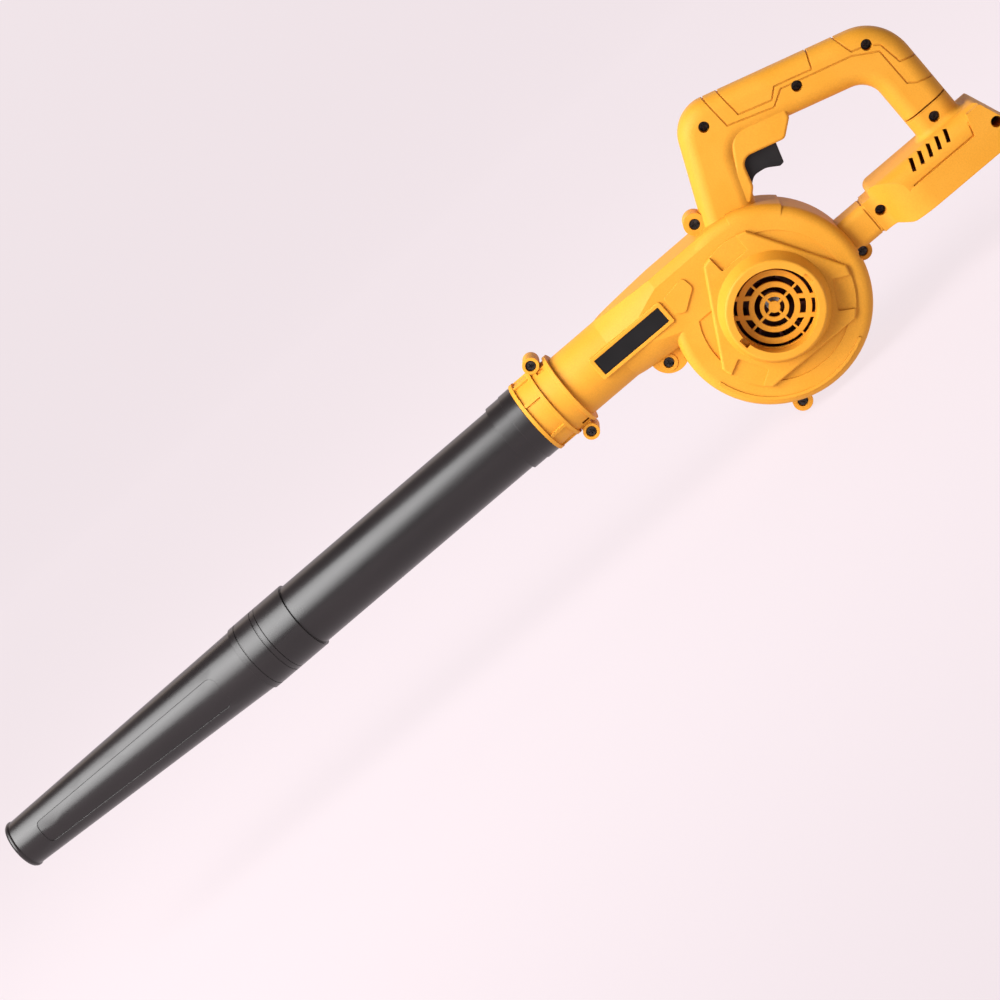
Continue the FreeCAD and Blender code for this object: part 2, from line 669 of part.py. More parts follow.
def foot_outside():
    """Foot and post stub with a hollow fillet round the stub."""
    body = foot_solid(0).fuse(post_stub(0)).removeSplitter()
    ring = []
    for edge in body.Edges:
        box = edge.BoundBox
        level = abs(box.ZMax - FOOT_TOP) < 0.01 and abs(box.ZMin - FOOT_TOP) < 0.01
        beside = box.XMin > POST_INNER_X - 1 and box.XMax < POST_REAR_X + 1
        if level and beside and max(box.YMax, -box.YMin) < HANDLE_HALF + 1:
            ring.append(edge)
    return body.makeFillet(POST_FOOT_ROUND, ring)


def flank_grooves():
    """Fine groove above the step of each flank, turning up at the tail."""
    z = SHOULDER_Z + 0.7
    line = panel_line([(134, z), (TAIL_X - 2.3, z), (TAIL_X + 2.4, z + 15)], FOOT_HALF + 1)
    floor = FOOT_HALF - FLANK_STEP - GROOVE_DEPTH
    return line.cut(block(120, 210, -floor, floor, -60, -20))


def tongues():
    """Tongues of the foot that sit inside the neck and the rear post."""
    gap = WALL + 0.3
    post = block(POST_INNER_X + 4.3, POST_REAR_X - 4.3, -9.7, 9.7, FOOT_SEAM_Z - 4, FOOT_SEAM_Z + 5)
    post = post.cut(block(POST_INNER_X + 6.5, POST_REAR_X - 6.5, -7.5, 7.5, -60, 20))
    neck = block(NECK_SEAM_X - 6, NECK_SEAM_X + 4, -HANDLE_HALF + gap, HANDLE_HALF - gap,
                 NECK_BOTTOM + gap, NECK_TOP - gap)
    neck = neck.cut(block(NECK_SEAM_X - 8, NECK_SEAM_X + 9, -HANDLE_HALF + gap + 2,
                          HANDLE_HALF - gap - 2, NECK_BOTTOM + gap + 2, NECK_TOP - gap - 2))
    return [post, neck]


def make_foot():
    hollow = foot_solid(WALL).fuse(post_stub(WALL))
    hollow = hollow.cut(block(SLOT_FRONT - WALL, 300, -SLOT_HALF - WALL, SLOT_HALF + WALL,
                              FOOT_BOTTOM - 1, SLOT_CEILING + WALL))
    body = foot_outside().cut(hollow)
    slot = [block(SLOT_FRONT, 300, -SLOT_HALF, SLOT_HALF, FOOT_BOTTOM + RAIL_HEIGHT, SLOT_CEILING),
            block(SLOT_FRONT, 300, -SLOT_HALF + RAIL_DEPTH, SLOT_HALF - RAIL_DEPTH,
                  FOOT_BOTTOM - 1, SLOT_CEILING)]
    through = block(POST_INNER_X + 6.5, POST_REAR_X - 6.5, -7.5, 7.5, FOOT_TOP - 8, 20)
    lead_hole = block(SLOT_FRONT + 2, SLOT_FRONT + 8, -6, 6, SLOT_CEILING - 1, SLOT_CEILING + 5)
    body = body.cut(fuse(slot + [through, lead_hole]))
    body = fuse([body] + tongues())
    supports = pillars(FOOT_SCREWS[:2], HANDLE_HALF - 1) + pillars(FOOT_SCREWS[2:], FOOT_HALF - 2)
    body = fuse([body] + supports)
    vents = []
    for i in range(5):
        cut = block(-1.5, 1.5, -60, -20, -4.6, 4.6)
        cut.rotate(V(0, 0, 0), Y_AXIS, 25)
        cut.translate(V(143 + 8 * i, 0, -34))
        vents.append(cut)
        mirrored = cut.copy()
        mirrored.translate(V(0, 80, 0))
        vents.append(mirrored)
    body = body.cut(fuse(vents + screw_cuts(FOOT_SCREWS) + [flank_grooves()]))
    return half(body, -1), half(body, 1)


def terminal_block():
    body = block(SLOT_FRONT + 0.3, SLOT_FRONT + 9, -20, 20, SLOT_CEILING - 11, SLOT_CEILING - 0.1)
    for y in (-14, -5, 5, 14):
        body = body.cut(block(SLOT_FRONT + 2, SLOT_FRONT + 10, y - 0.4, y + 0.4,
                              SLOT_CEILING - 9, SLOT_CEILING - 3))
    return body


def terminal_blades():
    return Part.makeCompound([block(SLOT_FRONT + 2, SLOT_FRONT + 22, y - 0.4, y + 0.4,
                                    SLOT_CEILING - 9, SLOT_CEILING - 3) for y in (-14, -5, 5, 14)])


# ================================================================ blow tube
def front_tube():
    rear = COLLAR_FRONT - FACE_GAP
    pieces = [cyl_x(TUBE_R, JOINT_X, rear), cyl_x(BAND_R, rear - BAND_LENGTH, rear),
              cyl_x(BAND_R, JOINT_X, JOINT_X + 26),
              cyl_x(SPIGOT_R, rear - 2, rear + SPIGOT_LENGTH)]
    pieces += bayonet_lugs(rear)
    pieces.append(cyl_x(BAND_R + 0.6, rear - 11, rear))
    body = fuse(pieces)
    cuts = [cyl_x(TUBE_BORE_R, JOINT_X + SPIGOT_LENGTH + 4, rear - 5),
            cyl_x(SPIGOT_BORE_R, JOINT_X + 10, rear + SPIGOT_LENGTH + 1)]
    cuts += bayonet_socket(JOINT_X)
    return body.cut(fuse(cuts))


def nozzle_panels(length):
    """Shallow long panels sunk in both sides of the nozzle."""
    sunk = 0.4
    skin = Part.makeCone(NOZZLE_START_R + 1, TIP_R + 1, length, V(NOZZLE_NECK_X, 0, 0), -X_AXIS)
    skin = skin.cut(Part.makeCone(NOZZLE_START_R - sunk, TIP_R - sunk, length,
                                  V(NOZZLE_NECK_X, 0, 0), -X_AXIS))
    side = plate([(-512, 14, 7), (-512, -14, 7), (-700, -10, 4), (-700, 10, 4)], -40, 40)
    panels = skin.common(side)
    panels.rotate(V(NOZZLE_NECK_X, 0, 0), Y_AXIS, NOZZLE_RISE)
    return panels


def nozzle():
    rear = JOINT_X - FACE_GAP
    length = NOZZLE_NECK_X - TIP_X
    cone = Part.makeCone(NOZZLE_START_R, TIP_R, length, V(NOZZLE_NECK_X, 0, 0), -X_AXIS)
    lip = Part.makeTorus(TIP_R - 1.2, TIP_LIP_R - TIP_R + 1.2, V(TIP_X + 2.2, 0, 0), X_AXIS)
    bore = Part.makeCone(NOZZLE_START_R - 2.2, MOUTH_R, length - MOUTH_DEPTH,
                         V(NOZZLE_NECK_X, 0, 0), -X_AXIS)
    mouth = cyl_x(MOUTH_R, TIP_X - 5, TIP_X + MOUTH_DEPTH)
    tilted = [cone.fuse(lip).common(block(TIP_X, 0, -60, 60, -60, 60)), bore.fuse(mouth)]
    for shape in tilted:
        shape.rotate(V(NOZZLE_NECK_X, 0, 0), Y_AXIS, NOZZLE_RISE)
    pieces = [tilted[0], cyl_x(BAND_R, NOZZLE_NECK_X, rear),
              cyl_x(SPIGOT_R, rear - 2, rear + SPIGOT_LENGTH)]
    pieces += bayonet_lugs(rear)
    body = fuse(pieces)
    cuts = [tilted[1], cyl_x(NOZZLE_START_R - 2.4, NOZZLE_NECK_X - 0.5, rear - 4),
            cyl_x(SPIGOT_BORE_R, rear - 5, rear + SPIGOT_LENGTH + 1)]
    for x in (JOINT_X - 4.5, NOZZLE_NECK_X + 6):
        cuts.append(tube_x(BAND_R + 1, BAND_R - RING_DEPTH, x - 0.5, x + 0.5))
    cuts.append(nozzle_panels(length))
    return body.cut(fuse(cuts))


# ================================================================ trigger and switch
def trigger():
    finger = plate([(18.5, 7, 0), (18.0, -13.8, 1.5), (14.5, -15.2, 2), (4, -12.0, 14),
                    (-6, -13.6, 8), (-11.0, -20.6, 1), (-11.0, 7, 0)], -TRIGGER_HALF, TRIGGER_HALF)
    finger = finger.makeFillet(1.2, rim_edges(finger, -TRIGGER_HALF)
                               + rim_edges(finger, TRIGGER_HALF))
    flange = block(-15, 21.5, -12, 12, 5.6, 8)
    return in_grip(fuse([finger, flange]))


def switch_body():
    body = block(-12, 22, -8, 8, 20, 38).cut(Part.makeCylinder(2.5, 9.5, V(4, 0, 19.9)))
    return in_grip(body)


def switch_plunger():
    return in_grip(Part.makeCylinder(2.2, 13, V(4, 0, 9)))


def trigger_spring():
    height = 10.0
    helix = Part.makeHelix(height / 5, height, 4.0)
    profile = Part.Wire(Part.makeCircle(0.4, V(4.0, 0, 0), Y_AXIS))
    coil = Part.Wire(helix).makePipeShell([profile], True, True)
    coil.translate(V(4, 0, 9.5))
    return in_grip(coil)


# ================================================================ motor and fan
def motor_screw_places():
    return [fan_polar(12.5, 0), fan_polar(12.5, 180)]


def on_fan(shape):
    placed = shape.copy()
    placed.translate(V(0, 0, FAN_Z))
    return placed


def motor_can():
    can = tube_y(0, 0, CAN_R, CAN_R - 1.2, CAN_FRONT, CAN_REAR)
    front = cyl_y(0, 0, CAN_R, CAN_FRONT, CAN_FRONT + 1.2)
    boss = cyl_y(0, 0, 6.4, CAN_FRONT - 2.5, CAN_FRONT + 3)
    body = fuse([can, front, boss]).cut(cyl_y(0, 0, 5.0, CAN_FRONT - 2, CAN_FRONT + 4))
    body = body.cut(cyl_y(0, 0, SHAFT_R + 0.5, 0, 20))
    for x in (-12.5, 12.5):
        body = body.cut(cyl_y(x, 0, 1.52, CAN_FRONT - 1, CAN_FRONT + 2))
    return on_fan(body)


def motor_end_cap():
    body = fuse([tube_y(0, 0, CAN_R - 1.3, CAN_R - 3.3, 42.5, CAN_REAR + 1),
                 cyl_y(0, 0, CAN_R, CAN_REAR + 0.02, CAN_REAR + 3),
                 cyl_y(0, 0, 6.5, 53, 59)])
    body = body.cut(cyl_y(0, 0, 5.0, 50, 57.5))
    for side in (-1, 1):
        guide = block(8, 17, 43.5, 52.5, -3.6, 3.6).cut(block(7, 18, 44.9, 50.1, -2.1, 2.1))
        guide = guide.common(cyl_y(0, 0, CAN_R - 2, 40, 60))
        if side < 0:
            guide.rotate(V(0, 0, 0), Y_AXIS, 180)
        body = body.fuse(guide)
    tabs = [block(x - 2.4, x + 2.4, CAN_REAR + 2, 59, 6.6, 7.4) for x in (-12, 12)]
    return on_fan(fuse([body] + tabs))


def carbon_brushes():
    brushes = []
    for side in (0, 180):
        brush = block(6.06, 15, 45, 50, -2, 2)
        brush.rotate(V(0, 0, 0), Y_AXIS, side)
        brushes.append(on_fan(brush))
    return Part.makeCompound(brushes)


def motor_magnets():
    ring = tube_y(0, 0, CAN_R - 1.3, 13.3, 15, 41)
    gap = block(-30, 30, 0, 60, -6, 6)
    return on_fan(ring.cut(gap))


def motor_bearings():
    places = ((CAN_FRONT - 2, CAN_FRONT + 3), (52.4, 57.4))
    return Part.makeCompound([on_fan(tube_y(0, 0, 4.98, SHAFT_R + 0.03, a, b)) for a, b in places])


def motor_shaft():
    return on_fan(cyl_y(0, 0, SHAFT_R, -19, 57))


def armature_core():
    body = tube_y(0, 0, 12.7, SHAFT_R, 17, 39)
    for i in range(5):
        slot = block(7, 14, 10, 50, -1.6, 1.6)
        slot.rotate(V(0, 0, 0), Y_AXIS, 72 * i)
        body = body.cut(slot)
    return on_fan(body)


def armature_windings():
    """Copper in the five slots and the end turns on both sides."""
    coils = [tube_y(0, 0, 11.6, 3.2, 14.3, 16.98), tube_y(0, 0, 11.6, 3.2, 39.02, 41.7)]
    for i in range(5):
        slot = block(7.1, 12, 16.5, 39.5, -1.5, 1.5)
        slot.rotate(V(0, 0, 0), Y_AXIS, 72 * i)
        coils.append(slot)
    return on_fan(fuse(coils))


def commutator():
    body = tube_y(0, 0, 6.0, SHAFT_R, 43.5, 51)
    for i in range(5):
        slit = block(5, 7, 43, 52, -0.3, 0.3)
        slit.rotate(V(0, 0, 0), Y_AXIS, 36 + 72 * i)
        body = body.cut(slit)
    return on_fan(body)


def fan_blade(turn):
    def at(radius, angle):
        a = math.radians(angle + turn)
        return V(radius * math.cos(a), -24.5, radius * math.sin(a))
    outer = Part.Arc(at(20, 0), at(40, 17), at(57, 44)).toShape()
    inner = Part.Arc(at(20, 5.5), at(40, 19.8), at(57, 46)).toShape()
    edges = [outer, Part.makeLine(at(57, 44), at(57, 46)), inner,
             Part.makeLine(at(20, 5.5), at(20, 0))]
    return Part.Face(Part.Wire(Part.__sortEdges__(edges))).extrude(V(0, 26.5, 0))


def impeller():
    pieces = [cyl_y(0, 0, FAN_R, 1.5, 3.8), cyl_y(0, 0, 9.0, -14, 3.8),
              cone_y(0, 0, 9.0, 16.0, -6, 1.6), tube_y(0, 0, FAN_R, 34.0, -26, -24)]
    pieces += [fan_blade(40 * i) for i in range(9)]
    return on_fan(fuse(pieces).cut(cyl_y(0, 0, SHAFT_R, -30, 10)))


def impeller_washer():
    return on_fan(tube_y(0, 0, 5.5, SHAFT_R + 0.1, -15.02, -14.02))


def impeller_nut():
    points = []
    for i in range(6):
        a = math.radians(60 * i)
        points.append((4.62 * math.cos(a), 4.62 * math.sin(a), 0))
    return on_fan(plate(points, -18.54, -15.04).cut(cyl_y(0, 0, SHAFT_R, -30, 0)))


def motor_screws():
    screws = []
    for x, z in motor_screw_places():
        head = cyl_y(x, z, 2.75, CUP_FLOOR - 2.4, CUP_FLOOR - 0.02)
        shank = cyl_y(x, z, 1.5, CUP_FLOOR - 1, CAN_FRONT + 3)
        socket = cyl_y(x, z, 1.2, CUP_FLOOR - 3, CUP_FLOOR - 1.2)
        screws.append(head.fuse(shank).cut(socket))
    return Part.makeCompound(screws)


def motor_cover():
    """Vented bell over the motor with a flange and a hump for the leads."""
    base = DRUM_HALF + 0.02
    bell = cyl_y(0, FAN_Z, MOTOR_COVER_R, base, MOTOR_COVER_END)
    bell = bell.makeFillet(8, rim_edges(bell, MOTOR_COVER_END))
    hump = block(8, 30, base, 42, -8, WIRE_Z + 8)
    hump = hump.makeFillet(3, rim_edges(hump, 42))
    flange = cyl_y(0, FAN_Z, MOTOR_COVER_FLANGE_R, base, base + 3)
    inner = cyl_y(0, FAN_Z, MOTOR_COVER_R - WALL, base - 1, MOTOR_COVER_END - WALL)
    inner = inner.makeFillet(5.4, rim_edges(inner, MOTOR_COVER_END - WALL))
    body = fuse([bell, hump, flange])
    cuts = [inner, block(10.6, 27.4, base - 1, 42 - WALL, -20, WIRE_Z + 5.4)]
    for i in range(18):
        slot = block(26, 41, MOTOR_COVER_END - 4, MOTOR_COVER_END + 1, -1.5, 1.5)
        slot.rotate(V(0, 0, 0), Y_AXIS, 20 * i)
        cuts.append(on_fan(slot))
    for angle in COVER_SCREW_ANGLES:
        x, z = fan_polar(COVER_SCREW_R, angle)
        cuts.append(cyl_y(x, z, 1.8, base - 1, base + 4))
    return body.cut(fuse(cuts))


def cover_screws():
    screws = []
    top = DRUM_HALF + 3.04
    for angle in COVER_SCREW_ANGLES:
        x, z = fan_polar(COVER_SCREW_R, angle)
        head = cyl_y(x, z, 2.9, top, top + 2.2)
        shank = cyl_y(x, z, 1.5, 21, top + 1)
        cross = block(x - 1.7, x + 1.7, top + 1.1, top + 3, z - 0.35, z + 0.35)
        across = block(x - 0.35, x + 0.35, top + 1.1, top + 3, z - 1.7, z + 1.7)
        screws.append(head.fuse(shank).cut(cross.fuse(across)))
    return Part.makeCompound(screws)


def case_screws():
    screws = []
    for x, z in EAR_SCREWS + HANDLE_SCREWS + FOOT_SCREWS:
        head = cyl_y(x, z, SCREW_HEAD_R, SCREW_SEAT_Y - 2.5, SCREW_SEAT_Y - 0.02)
        shank = cyl_y(x, z, SCREW_R, SCREW_SEAT_Y - 1, SCREW_END_Y)
        cross = block(x - 2.1, x + 2.1, SCREW_SEAT_Y - 3, SCREW_SEAT_Y - 1.2, z - 0.45, z + 0.45)
        across = block(x - 0.45, x + 0.45, SCREW_SEAT_Y - 3, SCREW_SEAT_Y - 1.2, z - 2.1, z + 2.1)
        screws.append(head.fuse(shank).cut(cross.fuse(across)))
    return Part.makeCompound(screws)


# ================================================================ badge and leads
def name_badge():
    badge = in_badge(-BADGE_HALF_LENGTH, BADGE_HALF_LENGTH, 0.5, 1.18, BADGE_HALF_HEIGHT)
    return badge.makeFillet(1, [e for e in badge.Edges
                                if e.BoundBox.YLength > 0.5 and e.BoundBox.XLength < 1])


def battery_leads():
    """Two leads from the terminal block up the rear post and along the grip to the switch."""
    leads = []
    for y in (-3, 3):
        top = grip_point(10, 49.4, y)
        rear_x = POST_REAR_X - 8.0
        rise = (rear_x - top.x) * math.tan(math.radians(GRIP_TILT))
        leads.append(cord([
            (V(SLOT_FRONT + 5, y, SLOT_CEILING + 0.1), 0), (V(SLOT_FRONT + 5, y, -44), 5),
            (V(rear_x, y, -44), 6), (V(rear_x, y, top.z - rise), 30.5),
            (top, 5), (grip_point(10, 38.1, y), 0)], WIRE_R))
    return Part.makeCompound(leads)


def motor_leads():
    """Two leads from the switch down the front post, out to the right and to the motor."""
    leads = []
    for y, x, tab_x in ((-3, 14, 12), (3, 20, -12)):
        points = [(grip_point(-12.1, 26, y), 0), (grip_point(-26, 26, y), 6),
                  (V(x, y, WIRE_Z), 4), (V(x, 36, WIRE_Z), 4), (V(x, 36, -9), 4)]
        points += [(V(x, 57, -9), 4), (V(tab_x, 57, -26), 4), (V(tab_x, 57, FAN_Z + 7.5), 0)]
        leads.append(cord(points, WIRE_R))
    return Part.makeCompound(leads)


# ================================================================ build
left_shell, right_shell = make_shell()
foot_halves = make_foot()
keep("left_housing", left_shell)
keep("right_housing", right_shell)
keep("foot_left", foot_halves[0])
keep("foot_right", foot_halves[1])
for maker in (inlet_grille, terminal_block, terminal_blades, front_tube, nozzle, trigger,
              switch_body, switch_plunger, trigger_spring, motor_can, motor_end_cap,
              carbon_brushes, motor_magnets, motor_bearings, motor_shaft, armature_core,
              armature_windings, commutator, impeller, impeller_washer, impeller_nut,
              motor_screws, motor_cover, cover_screws, case_screws, name_badge,
              battery_leads, motor_leads):
    keep(maker.__name__, maker())
save_all()
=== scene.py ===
import bpy
import json
import math
from mathutils import Matrix, Vector


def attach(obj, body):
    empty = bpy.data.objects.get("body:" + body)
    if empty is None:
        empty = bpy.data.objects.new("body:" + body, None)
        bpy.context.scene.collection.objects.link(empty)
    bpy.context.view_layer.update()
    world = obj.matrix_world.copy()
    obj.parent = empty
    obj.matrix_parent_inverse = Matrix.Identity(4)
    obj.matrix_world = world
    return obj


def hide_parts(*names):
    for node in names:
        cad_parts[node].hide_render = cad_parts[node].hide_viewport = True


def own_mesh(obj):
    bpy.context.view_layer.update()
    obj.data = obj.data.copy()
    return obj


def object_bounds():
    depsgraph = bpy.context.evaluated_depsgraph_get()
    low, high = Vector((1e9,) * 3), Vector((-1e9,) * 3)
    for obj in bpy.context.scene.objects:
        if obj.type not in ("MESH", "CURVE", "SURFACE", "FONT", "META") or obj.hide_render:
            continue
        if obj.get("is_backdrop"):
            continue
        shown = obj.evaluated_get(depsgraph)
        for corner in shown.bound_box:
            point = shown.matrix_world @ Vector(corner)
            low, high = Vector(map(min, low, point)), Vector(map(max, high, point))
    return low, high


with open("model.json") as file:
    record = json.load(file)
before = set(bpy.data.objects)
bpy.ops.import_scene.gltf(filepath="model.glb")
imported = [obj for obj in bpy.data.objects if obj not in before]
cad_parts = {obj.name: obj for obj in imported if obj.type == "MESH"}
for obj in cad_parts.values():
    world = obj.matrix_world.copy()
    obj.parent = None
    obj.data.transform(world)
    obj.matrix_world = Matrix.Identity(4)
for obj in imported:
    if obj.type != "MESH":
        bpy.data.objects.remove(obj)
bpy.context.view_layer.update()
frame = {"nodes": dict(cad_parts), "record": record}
MM = 0.001
WAVE_SCALE = 157.08    # scale at which a band of the wave texture is 1 mm wide


# ---------------------------------------------------------------- camera
def place_camera():
    """Long lens in front of the fan side, rolled so that the tube runs along the diagonal."""
    right = Vector((0.75017, 0.01786, -0.66101))
    up = Vector((0.63737, 0.24666, 0.73001))
    back = right.cross(up)
    spot = (0.37505, -2.08187, 0.46951)
    camera = bpy.data.objects.new("camera", bpy.data.cameras.new("camera"))
    camera.data.lens = 100.8            # mm, as is the sensor's width
    camera.data.sensor_width = 36.0
    camera.data.clip_end = 30.0         # m, beyond the back of the floor
    turn = Matrix((right, up, back)).transposed().to_4x4()
    camera.matrix_world = Matrix.Translation(spot) @ turn
    bpy.context.scene.collection.objects.link(camera)
    bpy.context.scene.camera = camera


# ---------------------------------------------------------------- colour and nodes
def linear(hex_colour):
    """sRGB hex to linear RGBA."""
    def channel(i):
        c = int(hex_colour[i:i + 2], 16) / 255
        return c / 12.92 if c <= 0.04045 else ((c + 0.055) / 1.055) ** 2.4
    return (channel(1), channel(3), channel(5), 1.0)


def add(tree, kind, settings=None, inputs=None):
    """Add a node with its settings; an input takes a value or another node's output."""
    node = tree.nodes.new("ShaderNode" + kind)
    for name, value in (settings or {}).items():
        setattr(node, name, value)
    for name, value in (inputs or {}).items():
        socket = node.inputs[name]
        if isinstance(value, bpy.types.NodeSocket):
            tree.links.new(value, socket)
        else:
            socket.default_value = value
    return node


def new_material(name):
    material = bpy.data.materials.new(name)
    material.use_nodes = True
    material.node_tree.nodes.clear()
    return material, material.node_tree


def ramp(tree, factor, stops):
    """Colour ramp between two (position, colour) stops."""
    node = add(tree, "ValToRGB", inputs={"Fac": factor})
    for element, (position, colour) in zip(node.color_ramp.elements, stops):
        element.position = position
        element.color = colour
    return node.outputs["Color"]


def finish(name, colours, rough, grain_mm, bump_mm, values=None, patch_mm=30.0, stretch=(1, 1, 1),
           streak=None, edge_mm=0.5):
    """Solid material: two close colours in soft patches, a surface grain and a varied roughness.

    grain_mm is the size of one grain, bump_mm its height, patch_mm the size of a colour patch.
    stretch scales the pattern's frequency along each axis. edge_mm is the radius over which
    shading rounds an edge. streak is (direction, width_mm, depth_mm) and adds lines as from
    stacking or winding, each ridge and groove width_mm wide, a little wider on the diagonal.
    """
    material, tree = new_material(name)
    place = add(tree, "TexCoord").outputs["Object"]
    squeezed = add(tree, "Mapping", inputs={"Vector": place, "Scale": stretch}).outputs["Vector"]
    patches = add(tree, "TexNoise", inputs={
        "Vector": squeezed, "Scale": 1000 / patch_mm, "Detail": 3.0, "Roughness": 0.5})
    grain = add(tree, "TexNoise", inputs={
        "Vector": squeezed, "Scale": 1000 / grain_mm, "Detail": 2.0, "Roughness": 0.6})
    tint = ramp(tree, patches.outputs["Fac"], [
        (0.35, linear(colours[0])), (0.65, linear(colours[1]))])
    speck = add(tree, "MapRange", inputs={
        "Value": grain.outputs["Fac"], "From Min": 0.3, "From Max": 0.7, "To Min": 0.93,
        "To Max": 1.05})
    colour = add(tree, "Mix", {"data_type": "RGBA", "blend_type": "MULTIPLY"}, {
        "Factor": 1.0, 6: tint, 7: speck.outputs["Result"]}).outputs[2]
    gloss = add(tree, "MapRange", inputs={
        "Value": patches.outputs["Fac"], "From Min": 0.3, "From Max": 0.7, "To Min": rough[0],
        "To Max": rough[1]}).outputs["Result"]
    soft_edge = add(tree, "Bevel", {"samples": 4}, {"Radius": edge_mm * MM}).outputs["Normal"]
    normal = add(tree, "Bump", inputs={
        "Height": grain.outputs["Fac"], "Distance": bump_mm * MM, "Strength": 1.0,
        "Normal": soft_edge}).outputs["Normal"]
    if streak:
        axis, width_mm, depth_mm = streak
        lines = add(tree, "TexWave", {"wave_type": "BANDS", "bands_direction": axis}, {
            "Vector": place, "Scale": WAVE_SCALE / width_mm, "Distortion": 0.6, "Detail": 1.0})
        normal = add(tree, "Bump", inputs={
            "Height": lines.outputs["Fac"], "Distance": depth_mm * MM, "Strength": 1.0,
            "Normal": normal}).outputs["Normal"]
    shader = add(tree, "BsdfPrincipled", inputs={
        "Base Color": colour, "Roughness": gloss, "Normal": normal, **(values or {})})
    add(tree, "OutputMaterial", inputs={"Surface": shader.outputs["BSDF"]})
    return material


def make_finishes():
    """One material for each of the record's slots, named for what the real part is made of."""
    made = {}
    # Moulded ABS with a fine spark-eroded skin: warm, between matt and satin.
    made["shell"] = finish("abs_moulded_amber", ("#D59128", "#D9962E"), (0.50, 0.60), 1.1, 0.05,
                           {"IOR": 1.54, "Specular IOR Level": 0.18}, edge_mm=0.7)
    # Injection-moulded polypropylene: dark brown-grey with a silky sheen.
    made["tube"] = finish("polypropylene_moulded_charcoal", ("#120E0F", "#171213"), (0.27, 0.34),
                          0.8, 0.012, {"IOR": 1.49}, stretch=(0.35, 1, 1))
    # Black foil under lacquer, with a dull reflection.
    made["badge"] = finish("lacquered_foil_black", ("#0B0A0B", "#100E0F"), (0.36, 0.46), 0.4, 0.004,
                           {"Specular IOR Level": 0.25, "IOR": 1.5})
    # Moulded nylon, a little smoother in patches.
    made["trigger"] = finish("nylon_moulded_black", ("#0F0C0D", "#151213"), (0.42, 0.55), 0.7, 0.02,
                             {"IOR": 1.53, "Specular IOR Level": 0.3}, patch_mm=9.0)
    made["switch"] = finish("polyamide_moulded_grey", ("#26282B", "#2E3033"), (0.42, 0.55), 0.6,
                            0.02, {"IOR": 1.53})
    # Drawn spring wire: bright, with a fine grain.
    made["spring"] = finish("spring_steel_drawn", ("#A8ABAE", "#B6B9BC"), (0.22, 0.34), 0.3, 0.01,
                            {"Metallic": 1.0}, edge_mm=0.1)
    # Deep-drawn and zinc-plated sheet steel.
    made["can"] = finish("sheet_steel_zinc_plated", ("#B3B6B8", "#C3C6C8"), (0.25, 0.40), 1.2,
                         0.006, {"Metallic": 1.0}, patch_mm=8.0, stretch=(1, 0.1, 1))
    made["end_cap"] = finish("phenolic_moulded_black", ("#17181A", "#202124"), (0.45, 0.60), 0.5,
                             0.02, {"IOR": 1.55})
    # Pressed graphite: dull, dark and slightly metallic.
    made["carbon"] = finish("graphite_pressed", ("#26272A", "#303236"), (0.45, 0.60), 0.3, 0.03,
                            {"Metallic": 0.4}, patch_mm=2.0)
    made["magnet"] = finish("ferrite_sintered", ("#2C2B2D", "#363437"), (0.55, 0.70), 0.4, 0.03,
                            patch_mm=5.0)
    made["bronze"] = finish("bronze_sintered", ("#A97C46", "#B98A52"), (0.35, 0.50), 0.25, 0.02,
                            {"Metallic": 1.0}, patch_mm=2.0)
    made["shaft"] = finish("steel_ground", ("#C6C8CA", "#D2D4D6"), (0.12, 0.22), 0.15, 0.004,
                           {"Metallic": 1.0}, stretch=(1, 8, 1))
    # Stacked electrical sheet: ridges and grooves 0.5 mm wide along the shaft.
    made["laminations"] = finish("electrical_steel_stacked", ("#84878A", "#96999C"), (0.35, 0.50),
                                 0.3, 0.01, {"Metallic": 1.0}, streak=("Y", 0.5, 0.06))
    # Enamelled copper wire wound side by side, each ridge about 0.7 mm wide.
    made["copper"] = finish("copper_wire_enamelled", ("#B4592A", "#C76B38"), (0.22, 0.34), 0.3,
                            0.01, {"Metallic": 1.0}, streak=("DIAGONAL", 0.6, 0.15))
    # Glass-filled nylon of the fan, dry. Its dark red-brown is painted shade: the shaded look deep
    # inside the inlet, put into the fan's own colour.
    made["fan"] = finish("nylon_fan_maroon_painted_shade", ("#4A120A", "#58180D"), (0.45, 0.60), 0.5,
                         0.03, {"IOR": 1.53}, patch_mm=12.0)
    # Blackened screw steel, worn brighter in small patches.
    made["screw"] = finish("screw_steel_blackened", ("#1C1A1A", "#4A4543"), (0.30, 0.48), 0.4,
                           0.015, {"Metallic": 0.9}, patch_mm=2.5, edge_mm=0.2)
    made["zinc"] = finish("screw_steel_zinc_plated", ("#BFC2C4", "#CDD0D2"), (0.22, 0.36), 0.4,
                          0.01, {"Metallic": 1.0}, patch_mm=2.5, edge_mm=0.2)
    made["terminal"] = finish("brass_stamped_nickelled", ("#C9C3B0", "#D6D0BE"), (0.20, 0.32), 0.4,
                              0.008, {"Metallic": 1.0}, patch_mm=4.0, edge_mm=0.1)
    # Soft PVC insulation.
    made["lead"] = finish("pvc_extruded_red", ("#8E1512", "#9C1B17"), (0.32, 0.42), 0.6, 0.01,
                          {"IOR": 1.53}, edge_mm=0.1)
    return made


def dress_cad(made):
    """Give every CAD node the finish of its own slot."""
    for part in frame["record"]["subparts"]:
        obj = frame["nodes"][part["node"]]
        obj.data.materials.clear()
        obj.data.materials.append(made[part["material_slot"]])


def coil_return_spring(made):
    """Return spring, a copy of the CAD spring carried by the housing and held at its upper end by
    the switch; it keeps its rest length here.
    """
    rigid = frame["nodes"]["trigger_spring"]
    spring = bpy.data.objects.new("return_spring", rigid.data.copy())
    spring.matrix_world = rigid.matrix_world
    bpy.context.scene.collection.objects.link(spring)
    spring.data.materials.clear()
    spring.data.materials.append(made["spring"])
    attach(spring, "housing")
    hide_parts("trigger_spring")
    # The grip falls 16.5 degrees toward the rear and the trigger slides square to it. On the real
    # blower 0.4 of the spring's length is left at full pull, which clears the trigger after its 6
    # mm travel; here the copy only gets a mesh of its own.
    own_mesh(spring)


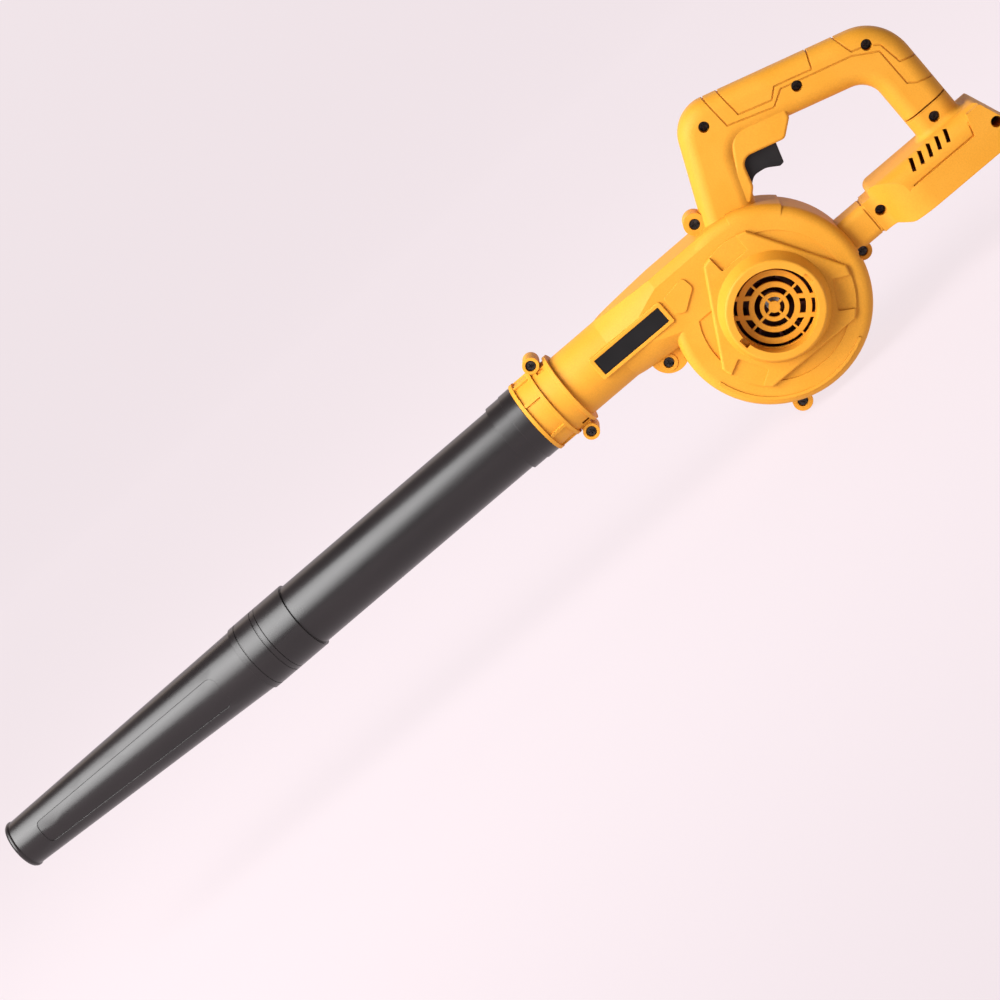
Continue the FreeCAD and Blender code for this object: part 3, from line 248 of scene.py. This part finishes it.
# ---------------------------------------------------------------- stage and light
def make_stage():
    """Pale floor that sweeps up behind the blower in one curve."""
    half_width = 6.0
    front = -9.0
    bend = 3.2
    radius = 1.6
    height = 5.0
    drop = 0.0006          # keeps the floor's face clear of the lowest point of the blower
    glow_strength = 0.88
    profile = [(front, 0.0), (bend, 0.0)]
    steps = 24
    for i in range(1, steps + 1):
        a = math.pi / 2 * i / steps
        profile.append((bend + radius * math.sin(a), radius * (1 - math.cos(a))))
    profile.append((bend + radius, height))
    points = [(x, y, z) for y, z in profile for x in (-half_width, half_width)]
    faces = [(2 * i, 2 * i + 1, 2 * i + 3, 2 * i + 2) for i in range(len(profile) - 1)]
    mesh = bpy.data.meshes.new("floor")
    mesh.from_pydata(points, [], faces)
    for polygon in mesh.polygons:
        polygon.use_smooth = True
    floor = bpy.data.objects.new("floor", mesh)
    floor.location.z = -drop
    bpy.context.scene.collection.objects.link(floor)
    material, tree = new_material("painted_board_pale")
    cloud = add(tree, "TexNoise", inputs={"Scale": 0.8, "Detail": 1.0})
    tint = ramp(tree, cloud.outputs["Fac"], [(0.3, linear("#F7EAEF")), (0.7, linear("#FCF1F5"))])
    shader = add(tree, "BsdfPrincipled", inputs={
        "Base Color": linear("#4A4446"), "Roughness": 0.9, "Specular IOR Level": 0.1})
    glow = add(tree, "Emission", inputs={"Color": tint, "Strength": glow_strength})
    both = add(tree, "AddShader", inputs={0: shader.outputs["BSDF"], 1: glow.outputs["Emission"]})
    add(tree, "OutputMaterial", inputs={"Surface": both.outputs["Shader"]})
    mesh.materials.append(material)
    floor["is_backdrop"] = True


def softbox(name, place, aim, size, power, colour="#FFFFFF"):
    """Rectangular area light at place, turned to aim, with its size in m and power in W."""
    light = bpy.data.lights.new(name, "AREA")
    light.shape = "RECTANGLE"
    light.size, light.size_y = size
    light.energy = power
    light.color = linear(colour)[:3]
    box = bpy.data.objects.new(name, light)
    place = Vector(place)
    box.matrix_world = Matrix.Translation(place) @ (
        (Vector(aim) - place).to_track_quat("-Z", "Y").to_matrix().to_4x4())
    bpy.context.scene.collection.objects.link(box)


def light_scene():
    """Broad key from the front left, a warm rim light from behind and a faint even fill."""
    key_spread = math.radians(100)
    fill_strength = 0.22
    low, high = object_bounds()
    middle = (low + high) / 2
    toward_tube = Vector((-0.26, 0, 0))
    softbox("key", (-0.85, -0.74, 0.95), middle + toward_tube, (1.5, 1.7), 30)
    bpy.data.lights["key"].spread = key_spread
    softbox("rim", (-0.6, 1.7, 1.6), middle, (2.2, 0.6), 3, "#FFE3C0")
    world = bpy.data.worlds.new("studio")
    bpy.context.scene.world = world
    world.use_nodes = True
    world.node_tree.nodes.clear()
    sky = add(world.node_tree, "Background", inputs={
        "Color": linear("#FBF1F4"), "Strength": fill_strength})
    add(world.node_tree, "OutputWorld", inputs={"Surface": sky.outputs["Background"]})
    bpy.context.scene.view_settings.view_transform = "Standard"


place_camera()
finishes = make_finishes()
dress_cad(finishes)
coil_return_spring(finishes)
make_stage()
light_scene()
